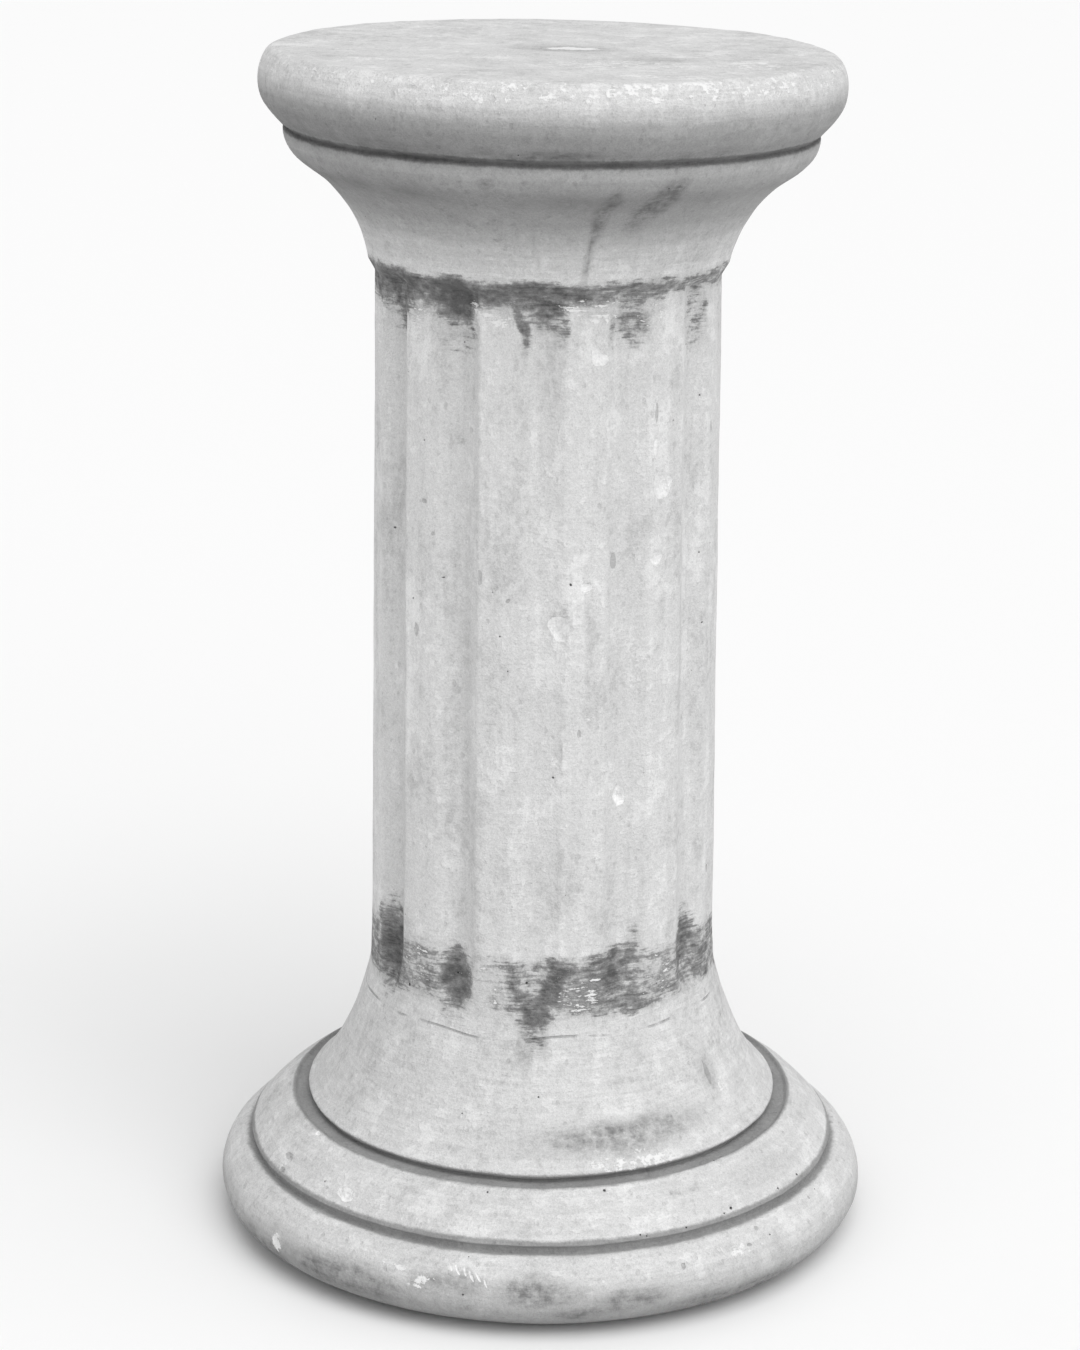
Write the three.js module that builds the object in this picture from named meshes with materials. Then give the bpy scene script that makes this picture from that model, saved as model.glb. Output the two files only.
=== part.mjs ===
// A cast stone garden column, made in one piece: a round moulded base, a fluted shaft
// with a slight taper, a bell and a flat round plate. Millimetres, +Z up. The origin is
// the centre of the foot, and the middle of one flute faces -Y.
import * as THREE from 'three';
import { mergeVertices } from 'three/addons/utils/BufferGeometryUtils.js';

// Shaft
const columnHeight = 700;
const shaftTopRadius = 99.5;
const shaftFootRadius = 103.5;

// Flutes
const fluteCount = 12;
const fluteShare = 0.5; // part of the pitch that is hollowed, the rest is ridge
const fluteDepth = 5;
const fluteEndLength = 36; // how far the rounded foot of a flute takes to run out
const fluteEndShare = 0.45; // width of that foot at its tip, against the full width
const fluteEndRows = [0, 0.3, 0.62, 1]; // where along the foot the shaft has a row

// Base, from the floor up
const torusHeight = 46;
const torusBellyHeight = 22; // height of its widest circle
const torusFootRun = 37; // from the edge of the flat foot out to the widest circle
const torusCrownRun = 14; // from the widest circle in to the top edge
const quirkHeight = 5;
const quirkRun = 4; // step in plan between the torus and the ring above it
const quirkDepth = 2.5;
const quirkRoofShare = 1 / 3; // part of the quirk's height that its roof slopes through
const ringHeight = 24;
const ringRun = 26.5;
const ringBulge = 1.6; // how far its face swells past the straight line
const ledgeRun = 8.5; // stained ledge between the ring and the flare
const ledgeDepth = 1.8; // how far the ledge lies below the ring's shoulder
const ledgeUndercut = 4; // how far it runs in under the flare's nose
const noseRadius = 3.2;
const noseLift = 2; // from the ledge up to the underside of the nose
const flareHeight = 79;
const flareRun = 38.5;
const flareNosePull = { run: 0.42, height: 0.23 }; // bend at the nose, as shares
const flareShaftPull = { run: 0.06, height: 0.17 }; // bend at the shaft, as shares

// Capital, from the shaft up. The bell's bends are shares of its run and its height.
const lipRun = 3.3;
const lipHeight = 6;
const bellHeight = 72.3;
const bellRun = 48.2;
const bellLipPull = { run: 0.078, height: 0.235 };
const bellWaistPull = { run: 0.215, height: 0.423 };
const bellWaist = { run: 0.504, height: 0.611 };
const bellSwellPull = { run: 0.676, height: 0.724 };
const bellTopPull = { run: 1, height: 0.79 };
const creaseHeight = 3.2;
const creaseDepth = 3;
const plateHeight = 41.5;
const plateOverhang = 14;
const plateFootOverhang = 1; // how far the plate's lower edge stands past the bell
const plateSlopePull = { overhang: 0.3, height: 0.223 };
const plateSidePull = 0.337; // share of the plate's height
const rimRadius = 17; // height of the rounding along the plate's upper edge
const rimRun = 10; // and how far it reaches in to the flat top

// How finely the round shapes are divided
const columnsPerFlute = 6;
const roundSteps = 5;
const sweepSteps = 7;
const noseSteps = 3;

// Points closer than this count as one
const samePoint = 0.01;
const sameCorner = 0.001;

const point = (radius, z) => new THREE.Vector2(radius, z);

function arc(centre, radii, start, end, steps) {
  const ellipse = new THREE.EllipseCurve(centre.x, centre.y, radii.x, radii.y, start, end);
  return ellipse.getPoints(steps);
}

function sweep(start, startPull, endPull, end, steps) {
  const curve = new THREE.CubicBezierCurve(start, startPull, endPull, end);
  return curve.getPoints(steps);
}

// Radii, worked outwards from the shaft
const flareRadius = shaftFootRadius + flareRun;
const ringTopRadius = flareRadius + ledgeRun;
const ringFootRadius = ringTopRadius + ringRun;
const torusTopRadius = ringFootRadius + quirkRun;
const baseRadius = torusTopRadius + torusCrownRun;
const lipRadius = shaftTopRadius + lipRun;
const bellRadius = lipRadius + bellRun;
const plateRadius = bellRadius + plateOverhang;

// Heights, worked up from the floor and down from the top
const ringFootZ = torusHeight + quirkHeight;
const ringTopZ = ringFootZ + ringHeight;
const ledgeZ = ringTopZ - ledgeDepth;
const noseZ = ledgeZ + noseLift + noseRadius;
const shaftFootZ = noseZ + flareHeight;
const plateFootZ = columnHeight - plateHeight;
const creaseZ = plateFootZ - creaseHeight / 2;
const bellTopZ = plateFootZ - creaseHeight;
const lipZ = bellTopZ - bellHeight;
const shaftTopZ = lipZ - lipHeight;

// The fat round at the foot, flat below and rolled in at its top edge
function torus() {
  const footRadius = baseRadius - torusFootRun;
  const rise = torusHeight - torusBellyHeight;
  const crownRadius = (rise * rise + torusCrownRun * torusCrownRun) / (2 * torusCrownRun);
  const crownEnd = Math.atan2(rise, crownRadius - torusCrownRun);
  const belly = point(footRadius, torusBellyHeight);
  const crown = point(baseRadius - crownRadius, torusBellyHeight);
  return [
    ...arc(belly, point(torusFootRun, torusBellyHeight), -Math.PI / 2, 0, roundSteps),
    ...arc(crown, point(crownRadius, crownRadius), 0, crownEnd, noseSteps),
  ];
}

// The narrow dark groove between the torus and the ring
function quirk() {
  const floorRadius = ringFootRadius - quirkDepth;
  return [
    point(floorRadius, torusHeight),
    point(floorRadius, ringFootZ - quirkHeight * quirkRoofShare),
  ];
}

// A gently swelling ring
function ring() {
  const foot = point(ringFootRadius, ringFootZ);
  const top = point(ringTopRadius, ringTopZ);
  const outward = point(ringHeight, ringRun).normalize().multiplyScalar(ringBulge * 2);
  const pull = foot.clone().lerp(top, 0.5).add(outward);
  return new THREE.QuadraticBezierCurve(foot, pull, top).getPoints(roundSteps);
}

// The ledge behind the ring, and the rounded nose that overhangs it
function ledge() {
  const floorRadius = flareRadius - ledgeUndercut;
  const noseCentre = point(flareRadius - noseRadius, noseZ);
  return [
    point(ringTopRadius - ledgeDepth, ledgeZ),
    point(floorRadius, ledgeZ),
    ...arc(noseCentre, point(noseRadius, noseRadius), -Math.PI / 2, 0, noseSteps),
  ];
}

// A point of the flare's hollow, with its run measured outwards and its height upwards
function onFlare(run, height) {
  return point(shaftFootRadius + flareRun * run, noseZ + flareHeight * height);
}

// The hollow flare that carries the shaft
function flare() {
  const nosePull = onFlare(flareNosePull.run, flareNosePull.height);
  const shaftPull = onFlare(flareShaftPull.run, 1 - flareShaftPull.height);
  return sweep(onFlare(1, 0), nosePull, shaftPull, onFlare(0, 1), sweepSteps);
}

function shaftRadius(z) {
  const share = (z - shaftFootZ) / (shaftTopZ - shaftFootZ);
  return THREE.MathUtils.lerp(shaftFootRadius, shaftTopRadius, share);
}

// The shaft, with rows only where the flutes end, and the lip of the bell above it
function shaft() {
  const rows = fluteEndRows.map((share) => shaftFootZ + fluteEndLength * share);
  rows.push(shaftTopZ);
  return [...rows.map((z) => point(shaftRadius(z), z)), point(lipRadius, lipZ)];
}

// A point of the bell, with its run and height as shares
function onBell(share) {
  return point(lipRadius + bellRun * share.run, lipZ + bellHeight * share.height);
}

// The bell, hollow below and swelling out under the plate
function bell() {
  const lip = onBell({ run: 0, height: 0 });
  const waist = onBell(bellWaist);
  const top = onBell({ run: 1, height: 1 });
  return [
    ...sweep(lip, onBell(bellLipPull), onBell(bellWaistPull), waist, roundSteps),
    ...sweep(waist, onBell(bellSwellPull), onBell(bellTopPull), top, roundSteps),
  ];
}

// The dark crease and the plate with its rounded edge and flat top
function plate() {
  const widestZ = columnHeight - rimRadius;
  const foot = point(bellRadius + plateFootOverhang, plateFootZ);
  const slope = point(
    plateRadius - plateOverhang * plateSlopePull.overhang,
    plateFootZ + plateHeight * plateSlopePull.height,
  );
  const side = point(plateRadius, plateFootZ + plateHeight * plateSidePull);
  const rimCentre = point(plateRadius - rimRun, widestZ);
  return [
    point(bellRadius - creaseDepth, creaseZ),
    ...sweep(foot, slope, side, point(plateRadius, widestZ), roundSteps),
    ...arc(rimCentre, point(rimRun, rimRadius), 0, Math.PI / 2, roundSteps),
  ];
}

// The whole outline, from the axis at the floor round to the axis at the top
function outline() {
  const points = [point(0, 0)];
  const stretches = [torus(), quirk(), ring(), ledge(), flare(), shaft(), bell(), plate()];
  for (const next of [...stretches.flat(), point(0, columnHeight)]) {
    if (next.distanceTo(points.at(-1)) > samePoint) {
      points.push(next);
    }
  }
  return points;
}

// Where a column of the lathe goes on a fluted row: the columns crowd into the flute and
// sink into it, and the middle of each ridge stays where it was
function fluted(angle, radius, z) {
  const pitch = (2 * Math.PI) / fluteCount;
  const edgeColumn = (pitch * 2) / columnsPerFlute;
  const centre = Math.round(angle / pitch) * pitch;
  const offset = angle - centre;
  if (Math.abs(offset) > edgeColumn * (1 + samePoint)) {
    return { angle, radius };
  }
  const share = THREE.MathUtils.clamp((z - shaftFootZ) / fluteEndLength, 0, 1);
  const run = Math.sqrt(1 - (1 - share) ** 2);
  const halfFlute = ((pitch * fluteShare) / 2) * THREE.MathUtils.lerp(fluteEndShare, 1, run);
  const across = THREE.MathUtils.clamp(offset / edgeColumn, -1, 1);
  const depth = fluteDepth * run * (1 - across ** 2);
  return { angle: centre + across * halfFlute, radius: radius - depth };
}

// Presses the flutes into the rows of the shaft
function pressFlutes(position) {
  for (let i = 0; i < position.count; i += 1) {
    const z = position.getZ(i);
    if (z > shaftFootZ - samePoint && z < shaftTopZ + samePoint) {
      const angle = Math.atan2(position.getX(i), -position.getY(i));
      const radius = Math.hypot(position.getX(i), position.getY(i));
      const place = fluted(angle, radius, z);
      position.setX(i, place.radius * Math.sin(place.angle));
      position.setY(i, -place.radius * Math.cos(place.angle));
    }
  }
}

// Turns the outline, closes the seam and the poles, and presses the flutes
function columnGeometry() {
  const turned = new THREE.LatheGeometry(outline(), fluteCount * columnsPerFlute);
  turned.rotateX(Math.PI / 2);
  turned.deleteAttribute('normal');
  turned.deleteAttribute('uv');
  const merged = mergeVertices(turned, sameCorner);
  pressFlutes(merged.getAttribute('position'));
  const corners = Array.from(merged.getIndex().array);
  const kept = [];
  for (let i = 0; i < corners.length; i += 3) {
    const triangle = corners.slice(i, i + 3);
    if (new Set(triangle).size === triangle.length) {
      kept.push(...triangle);
    }
  }
  merged.setIndex(kept);
  merged.computeVertexNormals();
  return merged;
}

const castStone = new THREE.MeshStandardMaterial({
  color: 0xc9c9c8,
  roughness: 0.9,
  metalness: 0,
});

const column = new THREE.Mesh(columnGeometry(), castStone);
column.name = 'column';

const part = new THREE.Group();
part.add(column);

export default part;
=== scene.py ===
import math
import random

import bmesh
import bpy
from mathutils import Matrix, Vector, noise
from mathutils.geometry import interpolate_bezier


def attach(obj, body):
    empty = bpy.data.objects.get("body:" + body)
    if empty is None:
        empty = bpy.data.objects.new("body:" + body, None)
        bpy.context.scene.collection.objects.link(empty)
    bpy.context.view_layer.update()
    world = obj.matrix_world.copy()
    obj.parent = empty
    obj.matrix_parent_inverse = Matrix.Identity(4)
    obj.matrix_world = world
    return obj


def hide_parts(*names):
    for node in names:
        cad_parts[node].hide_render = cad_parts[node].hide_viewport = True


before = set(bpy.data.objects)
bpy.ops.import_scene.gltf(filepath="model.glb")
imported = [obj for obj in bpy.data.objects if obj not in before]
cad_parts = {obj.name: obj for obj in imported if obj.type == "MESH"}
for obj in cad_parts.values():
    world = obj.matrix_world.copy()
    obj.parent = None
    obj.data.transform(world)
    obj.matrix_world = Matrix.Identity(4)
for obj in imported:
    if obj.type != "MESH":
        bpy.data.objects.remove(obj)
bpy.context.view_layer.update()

# Camera
# It stands in front of the column and a little above the plate, 1.9 m from the axis,
# and looks down at the middle. The frame leans a little, as the photographer held it.
camera_distance = 1.912
camera_height = 0.913
camera_azimuth = math.radians(1.6)
camera_pitch = math.radians(16.84)
camera_roll = math.radians(0.56)
camera_lens = 90.3
camera_shift = -0.0037

camera_data = bpy.data.cameras.new("camera")
camera_data.lens = camera_lens
camera_data.sensor_width = 36
camera_data.shift_x = camera_shift
camera = bpy.data.objects.new("camera", camera_data)
bpy.context.scene.collection.objects.link(camera)
camera.matrix_world = (
    Matrix.Rotation(camera_azimuth, 4, "Z")
    @ Matrix.Translation((0, -camera_distance, camera_height))
    @ Matrix.Rotation(math.radians(90) - camera_pitch, 4, "X")
    @ Matrix.Rotation(camera_roll, 4, "Z")
)
bpy.context.scene.camera = camera

# Studio
# A wide pale floor that runs out into a background as bright as itself. One very soft
# light comes from the front on the right, and a second one from high above.
floor_half = 40.0
floor_grey = 0.93
floor_roughness = 0.95
sky_strength = 0.6

floor_material = bpy.data.materials.new("studio_floor")
floor_material.use_nodes = True
floor_shader = floor_material.node_tree.nodes["Principled BSDF"]
floor_shader.inputs["Base Color"].default_value = (floor_grey, floor_grey, floor_grey, 1)
floor_shader.inputs["Roughness"].default_value = floor_roughness
floor_mesh = bpy.data.meshes.new("studio_floor")
bm = bmesh.new()
bmesh.ops.create_grid(bm, x_segments=1, y_segments=1, size=floor_half)
bm.to_mesh(floor_mesh)
bm.free()
floor_mesh.materials.append(floor_material)
floor = bpy.data.objects.new("studio_floor", floor_mesh)
bpy.context.scene.collection.objects.link(floor)

world = bpy.data.worlds.new("studio")
world.use_nodes = True
world.node_tree.nodes["Background"].inputs["Color"].default_value = (1, 1, 1, 1)
world.node_tree.nodes["Background"].inputs["Strength"].default_value = sky_strength
bpy.context.scene.world = world
bpy.context.scene.view_settings.view_transform = "Standard"


def soft_sun(name, azimuth, elevation, spread, strength):
    """A wide light that shines on the column from a direction, angles in degrees."""
    data = bpy.data.lights.new(name, "SUN")
    data.angle = math.radians(spread)
    data.energy = strength
    lamp = bpy.data.objects.new(name, data)
    bpy.context.scene.collection.objects.link(lamp)
    lamp.matrix_world = (
        Matrix.Rotation(math.radians(azimuth), 4, "Z")
        @ Matrix.Rotation(math.radians(90 - elevation), 4, "X")
    )


soft_sun("front_light", 36, 40, 50, 0.75)
soft_sun("top_light", 25, 70, 50, 1.0)

# Column
# The whole column is one casting in pale cement stone: a wet mix packed into a two-part
# mould, so its mouldings are a little uneven and its skin has air holes. It was washed
# with thin grey, which stayed in the grooves and flute ends, and brushed over with white.
mm = 0.001
column_height = 700 * mm
shaft_top_radius = 99.5 * mm
shaft_foot_radius = 103.5 * mm

flute_count = 12
flute_share = 0.5
flute_depth = 5 * mm
flute_end_length = 36 * mm
flute_end_share = 0.4
plain_shaft = (1 / 8, 7 / 8)

torus_height = 46 * mm
torus_belly_height = 22 * mm
torus_foot_run = 37 * mm
torus_crown_run = 14 * mm
quirk_height = 5 * mm
quirk_run = 4 * mm
quirk_depth = 2.5 * mm
quirk_roof_share = 1 / 3
ring_height = 24 * mm
ring_run = 26.5 * mm
ring_bulge = 1.6 * mm
ledge_run = 8.5 * mm
ledge_depth = 1.8 * mm
ledge_undercut = 4 * mm
nose_radius = 3.2 * mm
nose_lift = 2 * mm
flare_height = 79 * mm
flare_run = 38.5 * mm
flare_nose_pull = (0.42, 0.23)
flare_shaft_pull = (0.06, 0.83)

lip_run = 3.3 * mm
lip_height = 6 * mm
bell_height = 72.3 * mm
bell_run = 48.2 * mm
bell_lip_pull = (0.078, 0.235)
bell_waist_pull = (0.215, 0.423)
bell_waist = (0.504, 0.611)
bell_swell_pull = (0.676, 0.724)
bell_top_pull = (1, 0.79)
crease_height = 3.2 * mm
crease_depth = 1.8 * mm
plate_height = 41.5 * mm
plate_overhang = 14 * mm
plate_foot_overhang = 1 * mm
plate_slope_pull = (0.3, 0.223)
plate_side_pull = 0.337
rim_radius = 17 * mm
rim_run = 10 * mm

flare_radius = shaft_foot_radius + flare_run
ring_top_radius = flare_radius + ledge_run
ring_foot_radius = ring_top_radius + ring_run
torus_top_radius = ring_foot_radius + quirk_run
base_radius = torus_top_radius + torus_crown_run
foot_radius = base_radius - torus_foot_run
lip_radius = shaft_top_radius + lip_run
bell_radius = lip_radius + bell_run
plate_radius = bell_radius + plate_overhang

ring_foot_z = torus_height + quirk_height
ring_top_z = ring_foot_z + ring_height
ledge_z = ring_top_z - ledge_depth
nose_z = ledge_z + nose_lift + nose_radius
shaft_foot_z = nose_z + flare_height
plate_foot_z = column_height - plate_height
crease_z = plate_foot_z - crease_height / 2
bell_top_z = plate_foot_z - crease_height
lip_z = bell_top_z - bell_height
shaft_top_z = lip_z - lip_height


def arc(centre, radii, start, end, steps):
    """Points of an elliptical arc in the plane of the outline, angles in degrees."""
    angles = [math.radians(start + (end - start) * i / steps) for i in range(steps + 1)]
    return [
        (centre[0] + radii[0] * math.cos(a), centre[1] + radii[1] * math.sin(a))
        for a in angles
    ]


def sweep(start, start_pull, end_pull, end, steps):
    """Points of a curve that leaves and arrives along its two pulls."""
    knots = [Vector((r, 0, z)) for r, z in (start, start_pull, end_pull, end)]
    return [(p.x, p.z) for p in interpolate_bezier(*knots, steps + 1)]


def on_flare(run, height):
    """A point of the flare's hollow, its run and height as shares."""
    return (shaft_foot_radius + flare_run * run, nose_z + flare_height * height)


def on_shaft(share):
    """A point of the shaft at a share of its height."""
    radius = shaft_foot_radius + (shaft_top_radius - shaft_foot_radius) * share
    return (radius, shaft_foot_z + (shaft_top_z - shaft_foot_z) * share)


def on_bell(run, height):
    """A point of the bell, its run and height as shares."""
    return (lip_radius + bell_run * run, lip_z + bell_height * height)


crown_rise = torus_height - torus_belly_height
crown_radius = (crown_rise**2 + torus_crown_run**2) / (2 * torus_crown_run)
crown_end = math.degrees(math.atan2(crown_rise, crown_radius - torus_crown_run))
torus_belly = (foot_radius, torus_belly_height)
torus_crown = (base_radius - crown_radius, torus_belly_height)
quirk_radius = ring_foot_radius - quirk_depth
ring_foot = (ring_foot_radius, ring_foot_z)
ring_top = (ring_top_radius, ring_top_z)
ring_pull = tuple((low + high) / 2 + ring_bulge for low, high in zip(ring_foot, ring_top))
nose = (flare_radius - nose_radius, nose_z)
rim_z = column_height - rim_radius

outline = [
    (0, 0),
    *arc(torus_belly, (torus_foot_run, torus_belly_height), -90, 0, 16),
    *arc(torus_crown, (crown_radius, crown_radius), 0, crown_end, 10),
    (quirk_radius, torus_height),
    (quirk_radius, ring_foot_z - quirk_height * quirk_roof_share),
    *sweep(ring_foot, ring_pull, ring_pull, ring_top, 12),
    (ring_top_radius - ledge_depth, ledge_z),
    (flare_radius - ledge_undercut, ledge_z),
    *arc(nose, (nose_radius, nose_radius), -90, 0, 5),
    *sweep(
        on_flare(1, 0), on_flare(*flare_nose_pull), on_flare(*flare_shaft_pull), on_flare(0, 1), 30
    ),
    on_shaft(plain_shaft[0]),
    on_shaft(plain_shaft[1]),
    (shaft_top_radius, shaft_top_z),
    (lip_radius, lip_z),
    *sweep(
        on_bell(0, 0), on_bell(*bell_lip_pull), on_bell(*bell_waist_pull), on_bell(*bell_waist), 16
    ),
    *sweep(
        on_bell(*bell_waist), on_bell(*bell_swell_pull), on_bell(*bell_top_pull), on_bell(1, 1), 14
    ),
    (bell_radius - crease_depth, crease_z),
    *sweep(
        (bell_radius + plate_foot_overhang, plate_foot_z),
        (
            plate_radius - plate_overhang * plate_slope_pull[0],
            plate_foot_z + plate_height * plate_slope_pull[1],
        ),
        (plate_radius, plate_foot_z + plate_height * plate_side_pull),
        (plate_radius, rim_z),
        12,
    ),
    *arc((plate_radius - rim_run, rim_z), (rim_run, rim_radius), 0, 90, 10),
    (0, column_height),
]

# The outline is drawn on the front side, its corners are worn round, and long stretches
# are divided before it is spun about the axis.
columns_per_flute = 30
worn_radius = 0.8 * mm
corner_angle = math.radians(24)
row_step = 3.6 * mm
shaft_row_step = 10 * mm
flute_end_row_step = 3 * mm
flat_row_step = 10 * mm
underside_row_step = 40 * mm
same_point = 0.05 * mm
merge_distance = 0.01 * mm
degenerate_length = 0.001 * mm

bm = bmesh.new()
chain = []
for radius, z in outline:
    here = Vector((0, -radius, z))
    if not chain or (here - chain[-1].co).length > same_point:
        chain.append(bm.verts.new(here))
for lower, upper in zip(chain, chain[1:]):
    bm.edges.new((lower, upper))

corners = []
for before, here, after in zip(chain, chain[1:], chain[2:]):
    turn = (here.co - before.co).angle(after.co - here.co)
    if turn > corner_angle:
        corners.append(here)
bmesh.ops.bevel(
    bm,
    geom=corners,
    offset=worn_radius,
    offset_type="OFFSET",
    segments=2,
    profile=0.5,
    affect="VERTICES",
    material=-1,
)


def wanted_step(edge):
    """Longest row spacing that an edge of the outline may keep."""
    low = min(v.co.z for v in edge.verts)
    high = max(v.co.z for v in edge.verts)
    if high - low < same_point:
        return underside_row_step if high < same_point else flat_row_step
    if low > shaft_foot_z - same_point and high < shaft_top_z + same_point:
        long_stretch = high - low > (shaft_top_z - shaft_foot_z) / 2
        return shaft_row_step if long_stretch else flute_end_row_step
    return row_step


by_cuts = {}
for edge in bm.edges:
    cuts = math.ceil(edge.calc_length() / wanted_step(edge)) - 1
    by_cuts.setdefault(cuts, []).append(edge)
for cuts, edges in sorted(by_cuts.items()):
    if cuts > 0:
        bmesh.ops.subdivide_edges(bm, edges=edges, cuts=cuts)

bmesh.ops.spin(
    bm,
    geom=bm.verts[:] + bm.edges[:],
    cent=(0, 0, 0),
    axis=(0, 0, 1),
    angle=math.radians(360),
    steps=flute_count * columns_per_flute,
    use_merge=True,
)
bmesh.ops.remove_doubles(bm, verts=bm.verts, dist=merge_distance)
bmesh.ops.dissolve_degenerate(bm, edges=bm.edges, dist=degenerate_length)

# The flutes. The columns crowd at the arrises, every flute wanders a little from its
# place as the mould maker cut it, and its foot runs out like the bowl of a spoon. The
# lists go round the column from the front, wander in degrees and depth as a share.
pitch = 2 * math.pi / flute_count
arris_crowding = 0.5
arris_softness = 0.2
flute_wander = [0, -1.6, -1.9, -0.6, 0.4, 0.9, 0.3, -0.5, 0.2, 0.9, 1.6, 2.1]
flute_depths = [0.85, 0.9, 1.15, 1.1, 1.0, 1.1, 1.0, 1.1, 1.1, 1.1, 1.5, 1.35]


def smooth(share):
    """Eases a share from 0 to 1."""
    share = min(1, max(0, share))
    return share * share * (3 - 2 * share)


def wander(angle):
    """How far the flutes near this angle stand from their even place, in radians."""
    turn = angle / pitch
    low = math.floor(turn)
    before = flute_wander[low % flute_count]
    after = flute_wander[(low + 1) % flute_count]
    return math.radians(before + (after - before) * smooth(turn - low))


def flute_hollow(angle, z):
    """Depth of the flutes at an even angle and a height."""
    if z < shaft_foot_z or z > lip_z:
        return 0
    offset = (angle / pitch - round(angle / pitch)) * pitch
    share = min(1, (z - shaft_foot_z) / flute_end_length)
    run = math.sqrt(1 - (1 - share) ** 2)
    half_flute = pitch * flute_share / 2 * (flute_end_share + (1 - flute_end_share) * run)
    across = offset / half_flute
    hollow = 1 - across * across
    hollow = (hollow + math.sqrt(hollow * hollow + arris_softness**2)) / 2
    fade = smooth((lip_z - z) / lip_height)
    depth = flute_depth * flute_depths[round(angle / pitch) % flute_count]
    return depth * run * hollow * fade


for vert in bm.verts:
    radius = math.hypot(vert.co.x, vert.co.y)
    if radius < same_point:
        continue
    even = math.atan2(vert.co.x, -vert.co.y)
    even += arris_crowding * math.sin(4 * math.pi * even / pitch) * pitch / (4 * math.pi)
    radius -= flute_hollow(even, vert.co.z)
    angle = even + wander(even)
    vert.co.x = radius * math.sin(angle)
    vert.co.y = -radius * math.cos(angle)

# The unevenness of a hand-filled mould: the skin swells and sinks by half a millimetre,
# the edges of the mouldings rise and fall, and the capital sits slightly askew.
skin_waves = [(17, 0.55 * mm), (60, 0.22 * mm), (150, 0.1 * mm)]
edge_waves = [(22, 0.5 * mm), (75, 0.3 * mm)]
edge_shift = Vector((9, 5, 2))
top_wave = 0.35
foot_fade = 14 * mm
capital_lean = math.radians(0.65)
neck_length = 22 * mm


def leaning(point):
    """Where a point of the upright column comes to lie once the capital leans."""
    away = math.sin(capital_lean * smooth((point.z - shaft_top_z) / neck_length))
    return Vector((point.x + (point.z - lip_z) * away, point.y, point.z - point.x * away))


for vert in bm.verts:
    point = vert.co.copy()
    radius = math.hypot(point.x, point.y)
    if radius > same_point:
        outward = Vector((point.x, point.y, 0)) / radius
        firm = smooth(point.z / foot_fade)
        level = top_wave if point.z > column_height - same_point else 1
        swell = sum(size * noise.noise(point * scale) for scale, size in skin_waves)
        lift = sum(
            size * noise.noise(point * scale + edge_shift) for scale, size in edge_waves
        )
        vert.co += outward * swell * firm + Vector((0, 0, lift * firm * level))
    vert.co = leaning(vert.co)

bmesh.ops.recalc_face_normals(bm, faces=bm.faces)
column_mesh = bpy.data.meshes.new("cast_column")
bm.to_mesh(column_mesh)
bm.free()
column = bpy.data.objects.new("cast_column", column_mesh)
bpy.context.scene.collection.objects.link(column)

# Chips and air holes. Each is bitten out of the skin by a lumpy flat stone shape. A row
# gives its angle round the column from the front, level, width, height and depth, and
# the row of a hole its angle, level and width.
pale_chips = [
    (41.0, 469, 15, 15, 2.9),
    (27.5, 290, 9, 15, 2.2),
    (18.1, 544, 11, 12, 2.1),
    (39.2, 427, 9, 9, 1.9),
    (14.3, 415, 8, 5, 1.3),
    (4.8, 392, 12, 14, 2.5),
    (38.5, 491, 3, 10, 0.5),
    (-57.7, 73.6, 4, 3, 0.8),
    (-39.5, 57.8, 11, 5, 0.7),
    (-50.7, 23, 6, 8, 0.7),
    (96, 310, 9, 12, 1.2),
    (131, 452, 12, 9, 1.3),
    (-168, 236, 8, 11, 1.1),
    (-121, 497, 11, 12, 1.4),
    (-98, 335, 7, 7, 0.9),
    (168, 530, 8, 9, 1.0),
    (110, 60, 10, 6, 0.8),
    (-150, 30, 9, 8, 0.9),
]
plain_chips = [
    (5.2, 316, 6, 9, 1.0),
    (69.5, 109.6, 6, 8, 0.5),
    (-26.1, 693.7, 13, 5, 1.2),
    (3.3, 691.8, 8, 4, 0.9),
    (-10.4, 679.9, 4, 4, 0.8),
    (47.5, 461, 5, 3, 0.8),
    (-28.5, 540, 6, 9, 0.7),
    (20.6, 350, 5, 6, 0.6),
    (150, 690, 10, 5, 1.1),
    (-110, 688, 9, 6, 1.0),
    (-75, 62, 8, 5, 0.8),
]
grey_chips = [
    (-44.4, 382, 4, 8, 1.0),
    (-20.1, 419, 5, 11, 0.9),
    (-41.4, 457.5, 5, 3, 1.0),
    (-59.6, 60.4, 9, 4, 1.0),
    (-58.8, 54.2, 5, 3, 0.8),
    (38.7, 510, 2.5, 13, 0.8),
    (68.8, 494, 2, 8, 0.8),
    (70.2, 228, 2.5, 6, 1.0),
    (-10.6, 407, 3, 3, 0.7),
    (-37.5, 440, 3, 3, 0.6),
    (44.2, 43.6, 4, 3, 0.8),
    (41.1, 38.3, 4, 2.5, 0.8),
    (27.0, 37.2, 3, 4, 0.9),
    (60.8, 43.9, 3, 3, 0.9),
    (12.5, 330, 2.5, 6, 0.6),
    (24.6, 428.6, 5, 10, 0.8),
    (57, 112, 9, 19, 0.5),
]
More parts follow.
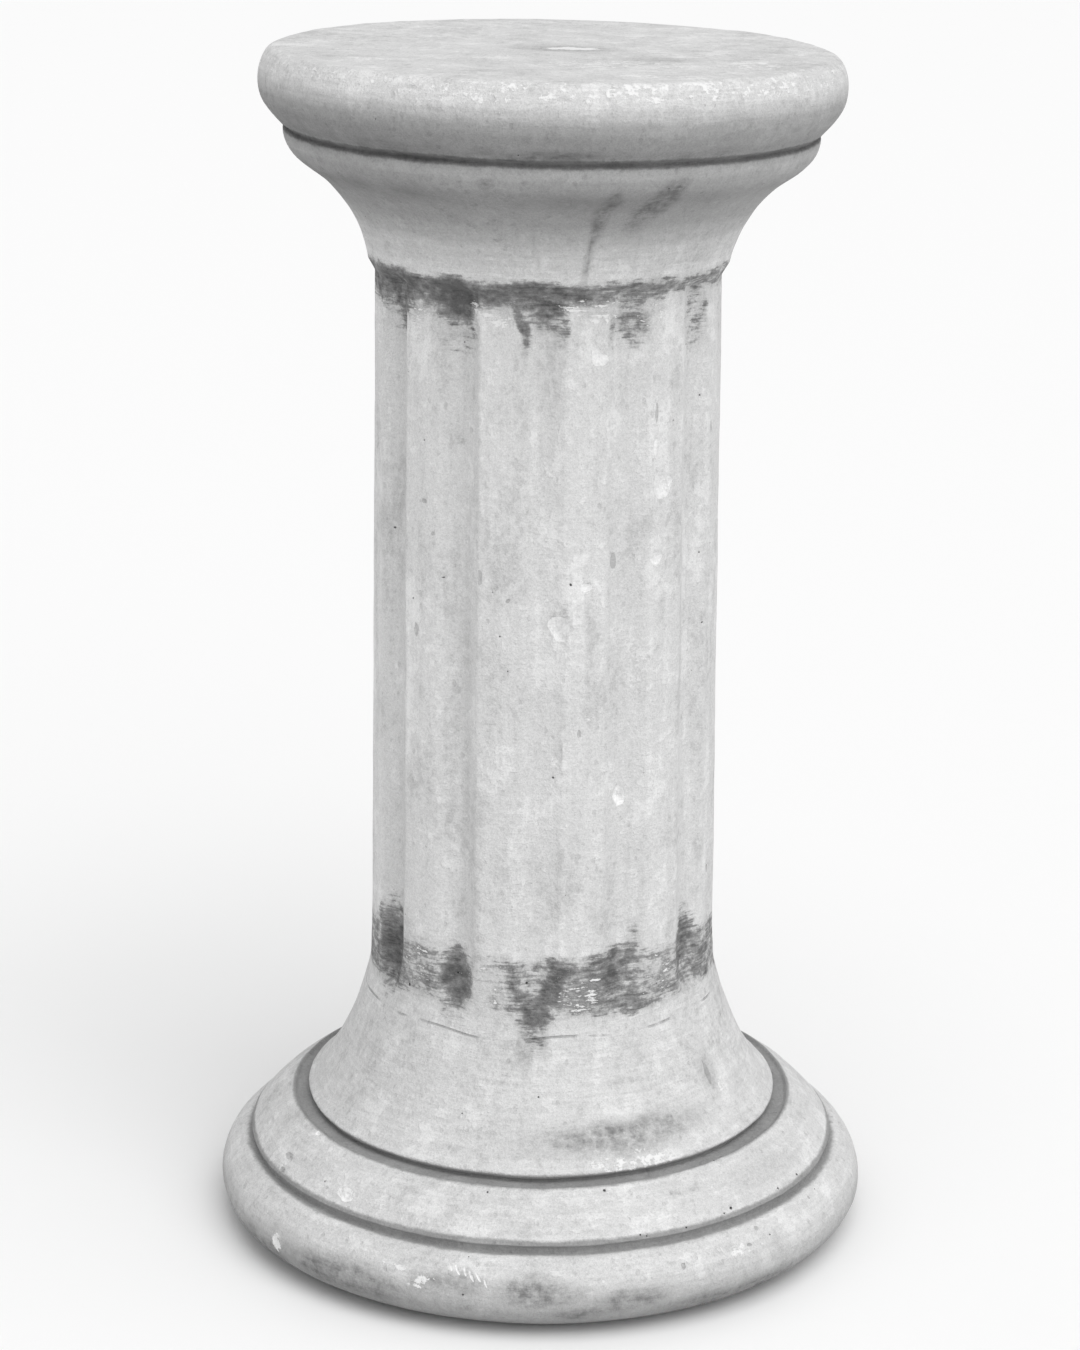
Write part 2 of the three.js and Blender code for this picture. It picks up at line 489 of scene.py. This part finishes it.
holes = [
    (-51.6, 505.7, 1.7), (9.4, 417.0, 2.4), (-15.4, 411.2, 1.6), (-12.9, 386.2, 1.5),
    (-41.3, 492.2, 1.6), (8.9, 233.9, 1.6), (-46.7, 165.2, 2.6), (15.4, 72.7, 2.4),
    (20.6, 53.2, 2.2), (21.8, 52.3, 1.6), (39.0, 54.0, 2.4), (41.0, 55.2, 2.4),
    (54.5, 54.2, 2.4), (61.9, 54.3, 2.6), (64.0, 44.6, 2.2), (46.3, 38.9, 2.0),
    (-46.1, 60.0, 1.6), (-11.1, 27.0, 2.2), (-11.0, 45.0, 1.4), (30.0, 52.6, 1.6),
]
# Short pale strokes on the foot, with their angle, level, length and lean
scratches = [
    (-13.8, 40.5, 8, 24),
    (-12.5, 39.0, 11, 30),
    (-11.1, 38.5, 7, 19),
    (-9.9, 36.5, 10, 27),
    (-8.6, 36.0, 8, 33),
    (-7.4, 33.5, 7, 22),
]
scratch_width = 1.4
scratch_depth = 0.35
scattered_holes = 130
hole_sizes = (0.9, 1.9)
hole_gap = 9 * mm
hole_depth_share = 0.45
small_hole_depth_share = 0.4
hole_levels = (12, 685)
wide_chip = 10
lumpiness = 0.22
lump_scale = 1.7
lump_shift = 0.37
bite_back = 4


def skin(angle, z):
    """Point of the skin at an angle and height, and the way it faces."""
    best = None
    for (r0, z0), (r1, z1) in zip(outline, outline[1:]):
        if min(z0, z1) <= z <= max(z0, z1) and abs(z1 - z0) > same_point:
            share = (z - z0) / (z1 - z0)
            radius = r0 + (r1 - r0) * share
            if best is None or radius > best[0]:
                best = (radius, Vector((z1 - z0, r0 - r1)).normalized())
    radius, facing = best
    radius -= flute_hollow(angle - wander(angle), z)
    around = Matrix.Rotation(angle, 3, "Z")
    return leaning(around @ Vector((0, -radius, z))), around @ Vector((0, -facing.x, facing.y))


def bite(shapes, angle, z, width, height, depth, slot, fineness, lean=0):
    """Add one lumpy cutter that sinks into the skin by its depth. Sizes in mm."""
    spot, facing = skin(math.radians(angle), z * mm)
    across = Vector((0, 0, 1)).cross(facing).normalized()
    along = facing.cross(across)
    turn = Matrix((across, along, facing)).transposed().to_4x4()
    turn @= Matrix.Rotation(math.radians(lean), 4, "Z")
    thickness = bite_back * depth
    spread = 1 / math.sqrt(1 - (1 - 1 / bite_back) ** 2)
    half_sizes = (width / 2 * spread * mm, height / 2 * spread * mm, thickness * mm)
    scale = Matrix.Diagonal((*half_sizes, 1))
    centre = spot + facing * (thickness - depth) * mm
    made = bmesh.ops.create_icosphere(shapes, subdivisions=fineness, radius=1)
    shift = Vector((angle, z, depth)) * lump_shift
    for vert in made["verts"]:
        vert.co *= 1 + lumpiness * noise.noise(vert.co * lump_scale + shift)
    placed = Matrix.Translation(centre) @ turn @ scale
    bmesh.ops.transform(shapes, matrix=placed, verts=made["verts"])
    for face in {f for v in made["verts"] for f in v.link_faces}:
        face.material_index = slot


cutters = bmesh.new()
taken = []
for slot, rows in enumerate((pale_chips, plain_chips, grey_chips)):
    for angle, z, width, height, depth in rows:
        fineness = 3 if width > wide_chip else 2
        bite(cutters, angle, z, width, height, depth, slot, fineness)
        taken.append(skin(math.radians(angle), z * mm)[0])
for angle, z, width in holes:
    bite(cutters, angle, z, width, width, width * hole_depth_share, 3, 1)
    taken.append(skin(math.radians(angle), z * mm)[0])
for angle, z, length, lean in scratches:
    bite(cutters, angle, z, scratch_width, length, scratch_depth, 0, 2, lean)
dice = random.Random(4)
for _ in range(scattered_holes):
    angle = dice.uniform(-180, 180)
    z = dice.uniform(*hole_levels)
    width = dice.uniform(*hole_sizes)
    spot = skin(math.radians(angle), z * mm)[0]
    if all((spot - other).length > hole_gap for other in taken):
        bite(cutters, angle, z, width, width, width * small_hole_depth_share, 3, 1)
        taken.append(spot)
cutter_mesh = bpy.data.meshes.new("bites")
cutters.to_mesh(cutter_mesh)
cutters.free()
for name in ("pale_break", "plain_break", "grey_break", "dark_hole"):
    cutter_mesh.materials.append(bpy.data.materials.new(name))
cutter = bpy.data.objects.new("bites", cutter_mesh)
bpy.context.scene.collection.objects.link(cutter)

stone = bpy.data.materials.new("cast_stone")
stone.use_nodes = True
column_mesh.materials.append(stone)
biting = column.modifiers.new("bites", "BOOLEAN")
biting.operation = "DIFFERENCE"
biting.solver = "MANIFOLD"
biting.material_mode = "TRANSFER"
biting.object = cutter
evaluated = column.evaluated_get(bpy.context.evaluated_depsgraph_get())
bitten = bpy.data.meshes.new_from_object(evaluated)
column.modifiers.clear()
column.data = bitten
bpy.data.objects.remove(cutter)
bpy.data.meshes.remove(column_mesh)
column_mesh = bitten
column_mesh.name = "cast_column"

# The tone of each break is kept on its faces: 1 is fresh and pale, -1 a dark hole with painted
# shade inside.
tones = {"pale_break": 1.0, "plain_break": 0.1, "grey_break": -0.4, "dark_hole": -1.0}
slot_tones = [tones.get(m.name, 0.0) for m in column_mesh.materials]
face_tones = [slot_tones[p.material_index] for p in column_mesh.polygons]
tone_layer = column_mesh.attributes.new("break_tone", "FLOAT", "FACE")
tone_layer.data.foreach_set("value", face_tones)
column_mesh.polygons.foreach_set("material_index", [0] * len(column_mesh.polygons))
column_mesh.materials.clear()
column_mesh.materials.append(stone)
column_mesh.polygons.foreach_set("use_smooth", [t == 0 for t in face_tones])

# Where the wash, the dirt, the worn white and the painted shade and sheen lie. Angles are round
# the column from the front in degrees, levels and lengths in millimetres. A smear gives its angle,
# level, half width, half height, lean and strength. A list of twelve has a value for each ridge.
groove_zones = [
    (146, 153, 656.4, 657.6),
    (136, 149.6, 71, 76.2),
    (173, 177.6, 45.5, 51.4),
]
groove_reach = 4
wash_smears = [
    (0, 578, 24, 30, 0, 0.85),
    (-7.0, 561, 4.5, 30, 9, 0.8),
    (6, 566, 8, 28, -9, 0.52),
    (-30, 577, 21, 27, 0, 1.25),
    (-29, 557, 20, 26, 0, 0.38),
    (-58, 574, 18, 40, 0, 0.8),
    (-53, 545, 3, 70, 0, 0.5),
    (30, 567, 17, 26, 0, 0.62),
    (22.5, 563, 4, 27, 0, 0.44),
    (60, 566, 15, 38, 0, 0.38),
    (-59.5, 182, 25, 40, 0, 0.95),
    (-56, 178, 12, 36, 0, 0.85),
    (-28.3, 175, 19, 31, 0, 0.95),
    (-25.5, 184, 11, 21, 20, 0.75),
    (-6.4, 176, 9, 25, 26, 0.72),
    (5.4, 177, 11, 29, -26, 0.92),
    (0, 163, 18, 17, 0, 0.9),
    (0, 150, 10, 20, 0, 0.45),
    (0, 180, 14, 22, 0, 0.6),
    (26, 184, 20, 22, 0, 0.78),
    (31, 190, 8, 30, -8, 0.6),
    (27, 164, 36, 11, 0, 0.72),
    (59, 188, 12, 34, 0, 0.62),
    (54, 178, 20, 16, 0, 0.52),
]
front_flutes = (0, 1, 2, 10, 11)
upper_band = [0.84, 0.7, 0.6, 0.7, 0.8, 0.65, 0.7, 0.6, 0.8, 0.9, 1.0, 0.94]
upper_drop = [15, 7, 10, 14, 18, 12, 16, 10, 18, 24, 26, 15]
lower_band = [0.62, 0.54, 0.6, 0.5, 0.66, 0.55, 0.5, 0.6, 0.55, 0.66, 0.62, 0.4]
dice = random.Random(11)
for flute in range(flute_count):
    if flute not in front_flutes:
        centre = flute * 30 + flute_wander[flute]
        centre -= 360 if centre > 180 else 0
        wash_smears += [
            (centre, 567, 19, dice.uniform(24, 36), 0, dice.uniform(0.5, 0.9)),
            (centre, 180, 18, dice.uniform(30, 42), 0, dice.uniform(0.6, 0.95)),
        ]
# Dirt and damp marks, and painted shade: the first two long strips lie along the shaded walls of
# the left flutes, and the wide band at level 661.5 is painted shade under the front of the plate
dirt_and_shade_smears = [
    (-51.2, 340, 4.5, 230, 0, 0.3),
    (-26.3, 370, 6, 220, 0, 0.2),
    (26.5, 633, 15, 31, -26, 0.62),
    (14.6, 628, 8, 27, -12, 0.56),
    (12.6, 604, 3.4, 34, 5, 0.55),
    (-2, 661.5, 70, 5.5, 0, 0.48),
    (-2.5, 606, 2.5, 24, 4, 0.3),
    (27, 604, 2.5, 26, 2, 0.25),
    (-12, 645, 7, 5, 0, 0.5),
    (-4, 648, 4, 3, 0, 0.5),
    (57, 111, 14, 20, 0, 0.35),
    (24, 93, 88, 14, 0, 0.6),
    (55, 64, 60, 12, 0, 0.26),
    (5, 90, 50, 9, 0, 0.3),
    (-3.5, 142, 8, 26, 0, 0.5),
    (2.5, 146, 5, 22, 0, 0.4),
    (-34, 22, 74, 17, 0, 0.54),
    (-13, 32, 36, 8, 0, 0.5),
    (2, 30, 40, 13, 0, 0.6),
    (17, 24, 36, 11, 0, 0.6),
    (8, 17, 26, 7, 0, 0.5),
    (38, 13, 90, 13, 0, 0.5),
    (-56, 14, 50, 18, 0, 0.46),
    (140, 24, 50, 12, 0, 0.8),
    (-120, 26, 60, 12, 0, 0.8),
    (170, 96, 60, 12, 0, 0.6),
    (-100, 630, 14, 26, 0, 0.7),
    (120, 625, 7, 30, 0, 0.7),
]
pale_smears = [
    (-39.5, 57.8, 11, 5, 0, 0.75),
    (-50.7, 23, 7, 9, 0, 0.75),
    (-18.8, 31.3, 14, 6, 0, 0.6),
    (-24, 36, 16, 6, 0, 0.4),
    (72.1, 122, 5, 8, 0, 0.5),
    (60, 101, 8, 15, 0, 0.45),
    (24, 81, 52, 7, 0, 0.56),
    (8, 66, 32, 6, 0, 0.32),
    (12, 38, 40, 8, 0, 0.35),
    (40, 38, 40, 9, 0, 0.38),
    (16, 350, 8, 26, 0, 0.3),
    (44, 440, 5, 40, 0, 0.3),
    (37, 340, 6, 80, 0, 0.25),
    (8, 108, 60, 10, 0, 0.22),
    (-15, 567, 26, 14, 0, 0.5),
    (16, 569, 30, 13, 0, 0.5),
    (36, 567, 14, 16, 0, 0.42),
    (-42, 562, 18, 20, 0, 0.42),
    (-17, 176, 24, 30, 0, 0.34),
    (13, 172, 24, 24, 0, 0.35),
    (42, 178, 26, 24, 0, 0.38),
    (-44, 180, 20, 28, 0, 0.4),
    (102, 570, 20, 12, 0, 0.4),
    (135, 176, 22, 20, 0, 0.4),
    (-135, 568, 22, 12, 0, 0.4),
    (-105, 176, 22, 20, 0, 0.4),
    (165, 566, 16, 12, 0, 0.4),
]
# Worn white along the rim for each ridge, partly a painted sheen, strongest at the front
rim_wear_and_sheen = [0.45, 0.43, 0.34, 0.3, 0.25, 0.3, 0.25, 0.3, 0.25, 0.28, 0.34, 0.4]
# How dark the painted shade and soot lie in the shelter of the plate and near the ground, by
# height.
shade_and_soot_steps = [
    (0, 0.6), (8, 0.5), (16, 0.42), (24, 0.26), (32, 0.1), (38, 0), (588, 0), (595, 0.12),
    (603, 0.18), (611, 0.36), (622, 0.5), (636, 0.59), (646, 0.46), (651, 0.36), (655, 0.4),
    (657, 0.5), (662, 0.56), (670, 0.53), (677, 0.43), (684, 0.2), (690, 0),
]
# Pale patches on the plate's flat top, partly white and partly a painted sheen
top_white_and_sheen = [
    (10, 2, 24, 10, 1.1),
    (-105, -70, 30, 12, 0.5),
    (-60, -110, 40, 8, 0.5),
    (60, -120, 60, 14, 0.54),
    (110, -60, 34, 44, 0.5),
    (40, -70, 90, 40, 0.43),
    (-20, 60, 50, 20, 0.34),
]
top_stains = [
    (6, 0, 48, 26, 0.5),
    (58, -44, 34, 20, 0.4),
]


# Levels and reaches of the layers, in millimetres
wash_radius = 125
upper_band_level = 579
lower_band_levels = (164, 190)
lower_band_edge = 10
lip_level = 589
lip_edge = 7
crease_levels = (656, 661)
crease_edge = 8
splash_height = 22
rim_levels = (692, 699)
rim_edge = 6
rim_radii = (140, 152)
capital_level = 640
top_level = 699
top_edge_level = 690
# Darkening along the crease, which is painted shade under the plate, and near the ground, which is
# dirt
crease_shade_and_foot_dirt = 0.3
smear_core = 1.35
oval_core = 1.4
# Strength of the painted shade and soot, and the painted shade that makes the left side darker
shade_and_soot_mean = 1.07
left_shade_swing = 0.13
# Ridges of the shaft lightened: brushed white and a painted highlight, which the swing makes
# stronger on the left side
ridge_white_and_highlight_mean = 0.045
ridge_highlight_swing = 0.035
ridge_from = 0.22
ridge_edge = 0.1
ridge_levels = (200, 560)
ridge_end = 30
smear_wander = 3.2
wander_scale = 55
least_radius = 20


def turn_between(angle, other):
    """Signed difference of two angles in degrees, the short way round."""
    return (angle - other + 180) % 360 - 180


def between_flutes(values, angle):
    """Value at an angle, from a list with one value for each ridge."""
    ridge = angle / 30 - 0.5
    low = math.floor(ridge)
    before, after = values[low % flute_count], values[(low + 1) % flute_count]
    return before + (after - before) * smooth(ridge - low)


def strongest(smears, angle, z, radius):
    """The strongest smear at a place on the skin."""
    most = 0
    for centre, level, half_width, half_height, lean, strength in smears:
        above = z - level
        if abs(above) > half_height + half_width:
            continue
        aside = math.radians(turn_between(angle, centre)) * radius
        if abs(aside) > half_height + half_width:
            continue
        tilt = math.radians(lean)
        u = (aside * math.cos(tilt) + above * math.sin(tilt)) / half_width
        v = (above * math.cos(tilt) - aside * math.sin(tilt)) / half_height
        most = max(most, strength * smooth(smear_core * (1 - math.sqrt(u * u + v * v))))
    return most


def in_ovals(ovals, x, y):
    """The strongest of some ovals at a place on the plate's flat top."""
    most = 0
    for centre_x, centre_y, half_x, half_y, strength in ovals:
        reach = math.hypot((x - centre_x) / half_x, (y - centre_y) / half_y)
        most = max(most, strength * smooth(oval_core * (1 - reach)))
    return most


def band(z, low, high, edge):
    """1 between two heights, easing out over an edge on both sides."""
    return smooth((z - low + edge) / edge) * smooth((high + edge - z) / edge)


def groove_wash(radius, z):
    """1 in a groove, falling to 0 at some distance from it."""
    nearest = groove_reach
    for inner, outer, low, high in groove_zones:
        aside = max(inner - radius, 0, radius - outer)
        beyond = max(low - z, 0, z - high)
        nearest = min(nearest, math.hypot(aside, beyond))
    return 1 - nearest / groove_reach


def shade_and_soot_at(z):
    """Share of the light stone's brightness that the painted shade and soot take away at a height.
    """
    for (z0, dark0), (z1, dark1) in zip(shade_and_soot_steps, shade_and_soot_steps[1:]):
        if z0 <= z <= z1:
            return dark0 + (dark1 - dark0) * smooth((z - z0) / (z1 - z0))
    return 0


def ridge_at(angle, z):
    """1 on the ridges of the shaft, 0 in its flutes and beyond it."""
    turn = (angle - math.degrees(wander(math.radians(angle)))) * flute_count / 360
    beyond = abs(turn - round(turn)) - ridge_from
    return smooth(beyond / ridge_edge) * band(z, *ridge_levels, ridge_end)


def wash_at(angle, z, radius):
    """How much of the grey wash stayed at a place on the skin."""
    if radius > wash_radius:
        return 0
    upper = between_flutes(upper_band, angle)
    upper *= 1 - smooth((upper_band_level - z) / between_flutes(upper_drop, angle))
    lower = between_flutes(lower_band, angle) * band(z, *lower_band_levels, lower_band_edge)
    below_lip = smooth((lip_level - z) / lip_edge)
    return max(strongest(wash_smears, angle, z, radius), upper, lower) * below_lip


def dirt_and_shade_at(angle, z, radius):
    """How much dirt and damp sits at a place on the skin, with painted shade along two flute
    walls, under the plate and along the crease.
    """
    return max(
        strongest(dirt_and_shade_smears, angle, z, radius),
        crease_shade_and_foot_dirt * band(z, *crease_levels, crease_edge),
        crease_shade_and_foot_dirt * (1 - smooth(z / splash_height)),
    )


def worn_and_sheen_at(angle, x, y, z, radius):
    """How much of the white brushed over the stone shows at a place on the skin, with the painted
    sheen along the rim and on the top.
    """
    worn_and_sheen = strongest(pale_smears, angle, z, radius)
    if z > capital_level:
        along_rim = between_flutes(rim_wear_and_sheen, angle) * band(z, *rim_levels, rim_edge)
        outwards = smooth((radius - rim_radii[0]) / (rim_radii[1] - rim_radii[0]))
        worn_and_sheen = max(worn_and_sheen, along_rim * outwards)
    if z > top_edge_level:
        worn_and_sheen = max(worn_and_sheen, in_ovals(top_white_and_sheen, x, y))
    return worn_and_sheen


layers = {name: [] for name in ("groove", "shade_and_soot", "wash", "dirt_and_shade", "worn_and_sheen")}
for vert in column_mesh.vertices:
    x, y, z = vert.co / mm
    away = math.sin(capital_lean) * smooth((z - shaft_top_z / mm) / (neck_length / mm))
    x, z = x - (z - lip_z / mm) * away, z + x * away
    radius = math.hypot(x, y)
    angle = math.degrees(math.atan2(x, -y))
    astray = noise.noise_vector(vert.co * wander_scale) * smear_wander
    stray_angle = angle + math.degrees(astray.x / max(radius, least_radius))
    layers["groove"].append(groove_wash(radius, z))
    side = math.sin(math.radians(angle))
    # Painted shade and soot by height, with more painted shade on the left side, away from the
    # lights
    shade_and_soot_here = shade_and_soot_at(z) * (shade_and_soot_mean - left_shade_swing * side)
    # Ridges lightened with brushed white and a painted highlight, stronger on the left side
    ridge_white_and_highlight = ridge_at(angle, z) * (ridge_white_and_highlight_mean - ridge_highlight_swing * side)
    layers["shade_and_soot"].append(shade_and_soot_here - ridge_white_and_highlight)
    layers["wash"].append(wash_at(stray_angle, z + astray.y, radius))
    if z < top_level:
        layers["dirt_and_shade"].append(dirt_and_shade_at(stray_angle, z + astray.y, radius))
    else:
        layers["dirt_and_shade"].append(in_ovals(top_stains, x, y))
    layers["worn_and_sheen"].append(worn_and_sheen_at(stray_angle, x, y, z + astray.y, radius))
for name, values in layers.items():
    layer = column_mesh.attributes.new(name, "FLOAT", "POINT")
    layer.data.foreach_set("value", values)

# The finish: mottled grey-white stone with fine grain, brush marks of the grey wash
# where it was wiped along the bands, and patches of the white that was brushed over it.
stone_tree = stone.node_tree


class Shade:
    """A socket of the stone's shader. Sums and products of sockets add Math nodes."""

    def __init__(self, link):
        self.link = link

    @staticmethod
    def node(kind, settings, sockets, out=0):
        """Add a node, set it up, then fill its sockets with values or links."""
        made = stone_tree.nodes.new(kind)
        for name, value in settings.items():
            setattr(made, name, value)
        for name, value in sockets.items():
            if isinstance(value, Shade):
                stone_tree.links.new(value.link, made.inputs[name])
            else:
                made.inputs[name].default_value = value
        return Shade(made.outputs[out])

    @staticmethod
    def math(operation, first, second=0.0):
        return Shade.node("ShaderNodeMath", {"operation": operation}, {0: first, 1: second})

    def output(self, name):
        """Another output of the same node."""
        return Shade(self.link.node.outputs[name])

    def __add__(self, other):
        return Shade.math("ADD", self, other)

    __radd__ = __add__

    def __sub__(self, other):
        return Shade.math("SUBTRACT", self, other)

    def __rsub__(self, other):
        return Shade.math("SUBTRACT", other, self)

    def __mul__(self, other):
        return Shade.math("MULTIPLY", self, other)

    __rmul__ = __mul__


def layer_value(name):
    """The value of one of the mesh's layers."""
    return Shade.node("ShaderNodeAttribute", {"attribute_name": name}, {}, out=2)


def rise(value, low, high):
    """Eases from 0 to 1 as a value goes from low to high."""
    return Shade.node(
        "ShaderNodeMapRange",
        {"interpolation_type": "SMOOTHSTEP"},
        {"Value": value, "From Min": low, "From Max": high},
    )


def vector_math(operation, first, second):
    """A Vector Math node."""
    return Shade.node("ShaderNodeVectorMath", {"operation": operation}, {0: first, 1: second})


def grain(across, up, detail, rough=0.5):
    """Noise with so many lumps a metre across and up the column, about 0 on average."""
    stretched = vector_math("MULTIPLY", where, (across, across, up))
    clumps = Shade.node(
        "ShaderNodeTexNoise",
        {"noise_dimensions": "3D"},
        {"Vector": stretched, "Scale": 1.0, "Detail": detail, "Roughness": rough},
    )
    return clumps - 0.5


def flecks(across, up, size, share):
    """Ragged spots on a jittered grid, and the share of its cells that hold one."""
    wobble = Shade.node(
        "ShaderNodeTexNoise",
        {"noise_dimensions": "3D"},
        {"Vector": where, "Scale": 520.0, "Detail": 2.0},
        out=1,
    )
    moved = vector_math("ADD", where, vector_math("MULTIPLY", wobble, (0.0022, 0.0022, 0.003)))
    cells = Shade.node(
        "ShaderNodeTexVoronoi",
        {"feature": "F1"},
        {"Vector": vector_math("MULTIPLY", moved, (across, across, up)), "Scale": 1.0},
    )
    chance = Shade.node("ShaderNodeSeparateColor", {}, {"Color": cells.output("Color")})
    return (1 - rise(cells, size * 0.6, size)) * rise(chance, 1 - share, 1.02 - share)


stone_grey = 0.65
white_grey = 0.84
fresh_grey = 0.82
dirt_and_shade_share = 0.72
wash_share = 0.68
hole_share = 0.75
seam_level = 0.147
relief_height = 0.0014

where = Shade.node("ShaderNodeTexCoord", {}, {}, out=3)
upright = Shade.node("ShaderNodeSeparateXYZ", {}, {"Vector": where}, out=2)
groove = layer_value("groove")
shade_and_soot = layer_value("shade_and_soot")
wash = layer_value("wash")
dirt_and_shade = layer_value("dirt_and_shade")
worn_and_sheen = layer_value("worn_and_sheen")
tone = layer_value("break_tone")

clouds = grain(13, 11, 4, 0.6)
patches = grain(48, 30, 5, 0.62)
lumps = grain(190, 170, 3, 0.6)
grit = grain(620, 620, 2, 0.6)
dust = grain(1500, 1500, 0)
drips = grain(95, 8, 3, 0.6)
streaks = grain(34, 380, 4, 0.7)
hairs = grain(70, 700, 3, 0.65)
ragged = grain(140, 230, 4, 0.7)

# Bare stone, with drips down the shaft, brush marks along the mouldings and dark flecks that are
# painted shade in small pits
on_shaft_face = rise(upright, 0.15, 0.2) * rise(upright, 0.585, 0.56)
bare = stone_grey + clouds * 0.11 + patches * 0.16 + lumps * 0.14 + grit * 0.24 + dust * 0.2
bare = bare + drips * 0.2 * on_shaft_face + streaks * 0.3 * (1 - on_shaft_face)
white_skin = rise(patches * 0.7 + lumps * 0.4 + drips * 0.3 + streaks * 0.15, 0.03, 0.09)
thin_skin = rise(clouds * 0.4 + patches * 0.5 + lumps * 0.5 + drips * 0.3, -0.04, -0.12)
bare = bare + white_skin * 0.045 - thin_skin * 0.05
# Dark flecks: painted shade in small pits, which the relief below also sinks
small_flecks = flecks(210, 130, 0.3, 0.2)
large_flecks = flecks(80, 46, 0.12, 0.16)
fleck = small_flecks * 0.12 + large_flecks * 0.08
# Painted shade and soot by height, darker on the left, less the painted highlight on the ridges,
# mottled
mottled_shade_and_soot = shade_and_soot * (1 + clouds * 0.5 + patches * 0.4 + streaks * 0.3)
bare = bare * (1 - fleck) * (1 - mottled_shade_and_soot)

# Dirt and damp, with painted shade along two flute walls, under the plate and along the crease
mottled_dirt_and_shade = dirt_and_shade * (1 + patches * 1.6 + lumps * 2 + streaks * 1.6 + ragged * 2)
after_dirt_and_shade = bare * (1 - dirt_and_shade_share * rise(mottled_dirt_and_shade, 0.0, 1.15))

# Grey wash, wiped along the bands and solid at the flute ends
edge = rise(wash, 0.02, 0.22)
wiped = wash + (streaks * 0.9 + ragged * 1.3 + patches * 1.1) * edge
strokes = rise(wiped + hairs * 0.75, 0.36, 0.62) * 0.34
washed = rise(wiped, 0.0, 1.15) * wash_share + strokes
hair_lines = rise(hairs + patches * 0.5 + ragged * 0.3, 0.06, 0.14) * rise(wash, 0.1, 0.35)
after_wash = after_dirt_and_shade * (1 - washed * (0.8 + ragged * 0.2)) * (1 - hair_lines * 0.3)

# Grooves
in_groove = rise(groove + ragged * 0.5 + patches * 0.3, 0.3, 0.75)
after_groove = after_wash * (1 - in_groove * (0.52 + lumps * 0.3 + streaks * 0.4))

# The line where two strokes of the mould meet on the flare
seam_wave = grain(9, 0, 1)
seam_at = upright - seam_wave * 0.02 - seam_level
seam = 1 - rise(Shade.math("ABSOLUTE", seam_at), 0.0002, 0.0008)
seam = seam * rise(clouds * 0.6 + patches * 0.6, -0.06, 0.06)
after_seam = after_groove * (1 - 0.34 * seam)

# Worn white, partly a painted sheen on the rim and the top, and breaks
banded = rise(wash, 0.02, 0.15)
flake_grain = grain(230, 260, 3, 0.7) * 1.4 + streaks * 0.5
brush_grain = hairs * 0.8 + streaks * 0.6 + ragged * 1.5 + patches * 0.8
flakes = worn_and_sheen + flake_grain * (1 - banded) + brush_grain * banded
bright = rise(flakes, 0.45, 0.6) * rise(worn_and_sheen, 0.03, 0.2)
lit = after_seam * (1 - bright) + white_grey * bright
pale = rise(tone, 0.0, 1.0)
dark = rise(tone, 0.0, -1.0)
fresh = fresh_grey + grit * 0.4 + lumps * 0.5
broken = lit * (1 - pale) + fresh * pale
# Painted shade inside the air holes
final_grey = broken * (1 - dark * hole_share)

skin_height = (
    lumps * 0.5
    + grit * 0.4
    + patches * 0.6
    + white_skin * 0.1
    + bright * 0.12
    + streaks * 0.4
    - fleck * 1.2
    - seam * 0.5
)
relief = Shade.node(
    "ShaderNodeBump", {}, {"Strength": 1.0, "Distance": relief_height, "Height": skin_height}
)
colour = Shade.node(
    "ShaderNodeCombineColor", {}, {"Red": final_grey, "Green": final_grey, "Blue": final_grey}
)
roughness = 0.86 - bright * 0.25 - washed * 0.08 + grit * 0.2
stone_shader = stone_tree.nodes["Principled BSDF"]
stone_shader.inputs["Specular IOR Level"].default_value = 0.35
stone_tree.links.new(colour.link, stone_shader.inputs["Base Color"])
stone_tree.links.new(roughness.link, stone_shader.inputs["Roughness"])
stone_tree.links.new(relief.link, stone_shader.inputs["Normal"])

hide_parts("column")
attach(column, "root")
